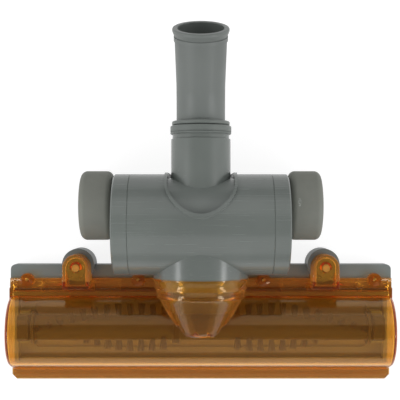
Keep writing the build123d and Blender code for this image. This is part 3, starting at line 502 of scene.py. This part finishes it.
def haze_and_painted_glow(paint):
    """Share of orange scatter at each place: haze everywhere, more where a wall is seen edge on, and painted glow
    on the flat rims, on the ears' walls and over the pegs.
    """
    x, y, z = paint.axes()
    upper = z.above(rim_height)
    from_roller = paint.about(roller_axis, (1, 0, 0))[1]
    # Painted glow on the flat rims, in place of light that they gather from their edges.
    painted_glow_on_rims = from_roller.smooth(rim_reach, rim_reach + rim_fade, 0.0, flat_rim_painted_glow) * (1 - upper)
    aside, behind = x.absolute() - ear_peg.x, y - ear_peg.y
    from_peg = (aside * aside + behind * behind) ** 0.5
    backward = behind.at_least(0.0)
    from_middle = (aside * aside + backward * backward) ** 0.5
    # Painted glow over the pegs and on the ears' walls, in place of light that reaches them through the plastic.
    painted_glow_on_pegs = from_peg.smooth(spot_r - spot_fade, spot_r, peg_painted_glow, 0.0) * upper
    painted_glow_on_ear_walls = from_middle.smooth(ear_r - ear_wall - spot_fade, ear_r - ear_wall, 0.0, ear_wall_painted_glow)
    painted_glow_on_ear_walls = painted_glow_on_ear_walls * upper * from_middle.below(ear_r + ear_margin) * y.above(ear_peg.y - ear_r)
    # Where a wall is seen edge on, the share grows: partly haze, partly painted glow in place of light piped along
    # the wall.
    facing = paint.node("ShaderNodeLayerWeight", values={"Blend": 0.5}, output="Facing")
    return facing.smooth(0.3, 0.95, haze_face_on, haze_and_glow_edge_on) + painted_glow_on_rims + painted_glow_on_pegs + painted_glow_on_ear_walls


def clear_amber_plastic():
    """Clear plastic that swallows light inside, with haze and painted glow on it and a pane for the lamps."""
    paint = Paint("clear_amber")
    smears = paint.noise(smear_scale, detail=4.0, roughness=0.6)
    clear = paint.principled(
        Base_Color=(*amber_skin, 1.0), Roughness=0.03 + smears.smooth(0.4, 0.9) * smear_gloss,
        IOR=1.5, Transmission_Weight=1.0, Specular_Tint=(*amber_mirror, 1.0),
    )
    # Orange diffuse scatter: haze on the face of the walls, painted glow at edges, rims, ear walls and pegs.
    haze_and_glow_scatter = paint.node("ShaderNodeBsdfDiffuse", values={"Color": (*amber_haze_and_glow, 1.0)})
    hazy_and_glowing = paint.mix_shaders(haze_and_painted_glow(paint), clear, haze_and_glow_scatter)
    pane = paint.node("ShaderNodeBsdfTransparent", values={"Color": (*amber_shadow, 1.0)})
    for_lamps = paint.node("ShaderNodeLightPath", output="Is Shadow Ray")
    body = {"Color": (*amber_body, 1.0), "Density": amber_density}
    inside = paint.node("ShaderNodeVolumeAbsorption", values=body)
    return paint.finish(paint.mix_shaders(for_lamps, hazy_and_glowing, pane), inside)


clear_amber_plastic()
print("Clear amber made, with an ear radius of", round(ear_r / mm, 1), "mm")

# %% [markdown]
# Bristles are black nylon filaments, bundled in tufts. A filament is smooth and a little glossy,
# and its shade varies by a hair from place to place.

# %% Bristle nylon
nylon_scale = 900.0
nylon_dark = linear(26, 26, 27)
nylon_light = linear(52, 50, 48)


def bristle_material():
    paint = Paint("bristle_nylon")
    shade = paint.noise(nylon_scale, detail=2.0)
    base = paint.mix(shade.smooth(0.3, 0.7), nylon_dark, nylon_light)
    return paint.finish(paint.principled(Base_Color=base, Roughness=0.38 + shade * 0.1))


bristle_material()
print("Bristle nylon made, finishes so far:", len(finishes))

# %% [markdown]
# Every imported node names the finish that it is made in, and takes it here. Only the elbow has one
# of its own: it is moulded in the casing's plastic, but without the barrel's hair lines.

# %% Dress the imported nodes
own_finish = {"elbow": "elbow_gloss"}
for part in frame["record"]["subparts"]:
    materials = frame["nodes"][part["node"]].data.materials
    materials.clear()
    materials.append(finishes[own_finish.get(part["node"], part["material_slot"])])

# %% [markdown]
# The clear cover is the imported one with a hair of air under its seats, because a ray can't tell
# two faces in one plane apart. The seats are its flange and walls on the sole plate, and its ledge
# on the strip. Facets show at once in a clear arch, so the merged copy is shaded smooth. Its
# edges stay sharp where it really turns, and weighted normals keep the flat faces beside them flat.

# %% Clear cover
sole_top = 3.0 * mm
strip_top = 13.0 * mm
seat_reach = 0.01 * mm
seat_air = 0.06 * mm
sharp_turn = radians(22)


def clear_cover():
    data = frame["nodes"]["top_cover"].data.copy()
    data.name = "clear_cover"
    mesh = bmesh.new()
    mesh.from_mesh(data)
    merge_corners(mesh)
    seats = [
        corner for corner in mesh.verts
        if min(abs(corner.co.z - sole_top), abs(corner.co.z - strip_top)) < seat_reach
    ]
    bmesh.ops.translate(mesh, verts=seats, vec=(0, 0, seat_air))
    for face in mesh.faces:
        face.smooth = True
    mesh.to_mesh(data)
    mesh.free()
    data.set_sharp_from_angle(angle=sharp_turn)
    piece = linked("clear_cover", data)
    weighted = piece.modifiers.new("weighted_normals", "WEIGHTED_NORMAL")
    weighted.mode = "FACE_AREA_WITH_ANGLE"
    weighted.keep_sharp = True
    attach(piece, "head")
    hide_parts("top_cover")
    print("Clear cover seats raised:", len(seats), "points")
    return piece


clear_cover()

# %% [markdown]
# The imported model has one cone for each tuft. Here each tuft becomes a bundle of filaments that
# leave their hole side by side and fan out, each a little longer or shorter than the next. The
# golden angle from one filament to the next fills a round bundle evenly.

# %% Bristle bundles
tuft_start = 27.0 * mm
tuft_end = 118.2 * mm
tuft_count = 12
tuft_first_angle = radians(-38.0)
tuft_twist = radians(11.4)
tip_r = 18.0 * mm
shortest = 0.93
longest = 0.985
filament_root = 8.6 * mm
filament_r = 0.24 * mm
filament_tip_r = 0.75 * filament_r
filament_sides = 4
filament_stray = 0.25 * mm
filaments_in_tuft = 26
golden_angle = 2.39996
root_spread = 1.6 * mm
tip_spread = 2.75 * mm


def add_filament(mesh, foot, tip):
    """One tapered filament between two points."""
    axis = tip - foot
    turn = axis.to_track_quat("Z", "Y").to_matrix().to_4x4()
    place = Matrix.Translation((foot + tip) / 2) @ turn
    bmesh.ops.create_cone(
        mesh, cap_ends=True, segments=filament_sides, radius1=filament_r, radius2=filament_tip_r,
        depth=axis.length, matrix=place,
    )


def add_tuft(mesh, centre, angle, chance):
    """One bundle that leaves the roller's axis, at centre, in the angle's direction."""
    outward = Vector((0, cos(angle), sin(angle)))
    sideways = Vector((0, -sin(angle), cos(angle)))
    for filament in range(filaments_in_tuft):
        turn = filament * golden_angle
        share = ((filament + 0.5) / filaments_in_tuft) ** 0.5
        spread = Vector((cos(turn), 0, 0)) + sideways * sin(turn)
        reach = tip_r * chance.uniform(shortest, longest)
        stray = Vector((chance.gauss(0, filament_stray), 0, 0))
        stray += sideways * chance.gauss(0, filament_stray)
        foot = centre + outward * filament_root + spread * root_spread * share
        tip = centre + outward * reach + spread * tip_spread * share + stray
        add_filament(mesh, foot, tip)


def bristle_row(side, row, name, node):
    """One half row of tufts on the roller, from its middle to one end."""
    chance = random.Random(name)
    mesh = bmesh.new()
    for index in range(tuft_count):
        x = side * (tuft_start + index * (tuft_end - tuft_start) / (tuft_count - 1))
        centre = Vector((x, roller_axis.y, roller_axis.z))
        add_tuft(mesh, centre, tuft_first_angle + pi * row + index * tuft_twist, chance)
    piece = shaped(name, mesh)
    piece.data.materials.append(finishes["bristle_nylon"])
    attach(piece, "roller")
    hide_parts(node)
    return piece


for side, side_name in ((-1, "left"), (1, "right")):
    for row, row_name in ((0, "a"), (1, "b")):
        ending = side_name + "_" + row_name
        bundle = bristle_row(side, row, "bristle_bundles_" + ending, "bristles_" + ending)
        print(bundle.name, len(bundle.data.polygons), "faces")

# %% [markdown]
# The screws are small, but the clear bosses and pegs show them from above. Each gets a rounded
# head with a cross recess and a ribbed shank in place of its plain solid, and its size and place
# are read from that solid. They are driven in from below, so their heads are at the low end. The
# outline is spun about the screw's axis, and two crossed bars are cut out of the head.

# %% Screws
screw_head_height = 1.6 * mm
screw_head_edge = 0.5 * mm
screw_facets = 24
thread_crest_r = 1.42 * mm
thread_root_r = 1.12 * mm
thread_pitch = 1.1 * mm
recess_reach = 1.9 * mm
recess_width = 0.45 * mm
recess_depth = 1.0 * mm


def screw_outline(head_r, low, high):
    """Radius and height of the screw's half section, from the head's face to the tip."""
    seat = low + screw_head_height
    flat_r = head_r - screw_head_edge
    outline = [(0, low), (flat_r, low), (head_r, low + screw_head_edge), (head_r, seat)]
    for rib in range(int((high - seat) / thread_pitch)):
        foot = seat + rib * thread_pitch
        outline += [(thread_root_r, foot), (thread_crest_r, foot + 0.5 * thread_pitch)]
    return outline + [(thread_root_r, high), (0, high)]


def turned_screw(mesh, centre, outline):
    """Spins the outline about the screw's axis."""
    corners = [mesh.verts.new((centre.x + radius, centre.y, height)) for radius, height in outline]
    edges = [mesh.edges.new(pair) for pair in zip(corners, corners[1:])]
    bmesh.ops.spin(
        mesh, geom=corners + edges, cent=(centre.x, centre.y, 0), axis=(0, 0, 1), angle=2 * pi,
        steps=screw_facets, use_merge=True,
    )


def cut_recesses(piece, places):
    """Cuts a cross into each head's face, one arm after the other."""
    for long_side, short_side in ((recess_reach, recess_width), (recess_width, recess_reach)):
        mesh = bmesh.new()
        for place in places:
            size = Matrix.Diagonal((2 * long_side, 2 * short_side, 2 * recess_depth, 1))
            bmesh.ops.create_cube(mesh, size=1.0, matrix=Matrix.Translation(place) @ size)
        arm = shaped("arm", mesh)
        cut = piece.modifiers.new("recess", "BOOLEAN")
        cut.object = arm
        cut.operation = "DIFFERENCE"
        cut.solver = "EXACT"
        seen = piece.evaluated_get(bpy.context.evaluated_depsgraph_get())
        shape = bpy.data.meshes.new_from_object(seen)
        piece.modifiers.clear()
        piece.data = shape
        bpy.data.objects.remove(arm)


def detailed_screws(node_name):
    """Turned screws with cross recesses in place of one node's plain ones."""
    mesh = bmesh.new()
    boxes = loose_parts(frame["nodes"][node_name])
    for low, high in boxes:
        outline = screw_outline((high.x - low.x) / 2, low.z, high.z)
        turned_screw(mesh, (low + high) / 2, outline)
    merge_corners(mesh)
    bmesh.ops.recalc_face_normals(mesh, faces=mesh.faces)
    piece = shaped("detailed_" + node_name, mesh)
    piece.data.materials.append(finishes["screw_steel"])
    faces = [Vector(((low.x + high.x) / 2, (low.y + high.y) / 2, low.z)) for low, high in boxes]
    cut_recesses(piece, faces)
    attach(piece, "head")
    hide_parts(node_name)
    return piece


for node_name in ("cover_screws", "ear_screws", "housing_screws"):
    screws = detailed_screws(node_name)
    print(screws.name, len(screws.data.polygons), "faces")

# %% [markdown]
# The table is white and so is the room. The floor is a plain matte grey, lit by the lamps. A share
# of plain white is added for what the camera, mirrors and clear pieces see of it, so that it comes
# out white around the head. It stays grey and keeps its shadow under the head, where the glow
# would shine through the clear cover.

# %% Floor
floor_half = 20.0
floor_grey = (0.30, 0.30, 0.30, 1.0)
floor_glow = 0.86
glow_fade = 8 * mm
posts_behind_strip = 12 * mm


def floor_material():
    paint = Paint("floor_white")
    diffuse = paint.node("ShaderNodeBsdfDiffuse", values={"Color": floor_grey})
    rays = paint.node("ShaderNodeLightPath").socket.node.outputs
    kinds = ("Is Camera Ray", "Is Transmission Ray", "Is Glossy Ray")
    seen = sum(Wire(paint, rays[kind]) for kind in kinds).at_most(1.0)
    x, y = paint.axes()[:2]
    base_low, base_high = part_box("base_shell")
    rear = base_high.y - posts_behind_strip
    middle, half = (base_low.y + rear) / 2, (rear - base_low.y) / 2
    beside = x.absolute().smooth(base_high.x - glow_fade, base_high.x)
    beyond = (y - middle).absolute().smooth(half - glow_fade, half)
    open_floor = 1 - (1 - beside) * (1 - beyond)
    white = {"Color": (1.0, 1.0, 1.0, 1.0), "Strength": floor_glow}
    glow = paint.node("ShaderNodeEmission", values=white)
    lit = paint.node("ShaderNodeAddShader", values={0: diffuse, 1: glow})
    return paint.finish(paint.mix_shaders(seen * open_floor, diffuse, lit))


floor_mesh = bmesh.new()
bmesh.ops.create_grid(floor_mesh, x_segments=1, y_segments=1, size=floor_half)
floor = shaped("floor", floor_mesh)
floor.data.materials.append(floor_material())
print("Floor laid,", 2 * floor_half, "m wide")

# %% [markdown]
# Two small softboxes hang at the left and right, and draw the long soft stripes on the duct
# and the neck. Two large ones in front and behind light the table and the casing evenly.

# %% Lamps
side_size = (0.5, 0.24)
table_size = (1.6, 1.0)
lamps_face = Vector((0, 0, 0))


def soft_lamp(name, place, size, power):
    data = bpy.data.lights.new(name, "AREA")
    data.shape = "RECTANGLE"
    data.size, data.size_y = size
    data.energy = power
    lamp = linked(name, data)
    lamp.location = place
    lamp.rotation_euler = (lamps_face - Vector(place)).to_track_quat("-Z", "Y").to_euler()
    print(name, power, "W")


soft_lamp("softbox_left", (-0.95, -0.32, 0.72), side_size, 2.6)
soft_lamp("softbox_right", (0.95, -0.32, 0.72), side_size, 2.6)
soft_lamp("softbox_front", (0.0, -0.9, 0.9), table_size, 3.6)
soft_lamp("softbox_back", (0.0, 0.9, 1.0), table_size, 3.0)

# %% [markdown]
# The room fills the rest. It is white, dim overhead, where the camera hangs and hides the
# light, and bright at its sides, which the round flanks of the barrel and the neck mirror.

# %% Room
room_low = 0.38
room_top = 0.18
room_side = 0.7
overhead_fade = (0.4, 1.0, room_low, room_top)
side_fade = (0.4, 0.9, 0.0, room_side)


def studio_world():
    """Brightness by direction: one fade towards straight up, added to one towards the sides."""
    world = bpy.data.worlds.new("studio")
    world.use_nodes = True
    nodes, links = world.node_tree.nodes, world.node_tree.links
    place = nodes.new("ShaderNodeTexCoord")
    split = nodes.new("ShaderNodeSeparateXYZ")
    links.new(place.outputs["Generated"], split.inputs[0])
    total = nodes.new("ShaderNodeMath")
    aside = nodes.new("ShaderNodeMath")
    aside.operation = "ABSOLUTE"
    links.new(split.outputs["X"], aside.inputs[0])
    fades = ((split.outputs["Z"], overhead_fade), (aside.outputs[0], side_fade))
    for index, (direction, values) in enumerate(fades):
        eased = nodes.new("ShaderNodeMapRange")
        eased.interpolation_type = "SMOOTHSTEP"
        for socket, value in enumerate(values, start=1):
            eased.inputs[socket].default_value = value
        links.new(direction, eased.inputs[0])
        links.new(eased.outputs[0], total.inputs[index])
    links.new(total.outputs[0], nodes["Background"].inputs["Strength"])
    nodes["Background"].inputs["Color"].default_value = (1.0, 1.0, 1.0, 1.0)
    return world


bpy.context.scene.world = studio_world()
bpy.context.scene.view_settings.view_transform = "Standard"
print("Room lit:", room_top, "overhead,", room_low + room_side, "at the sides")
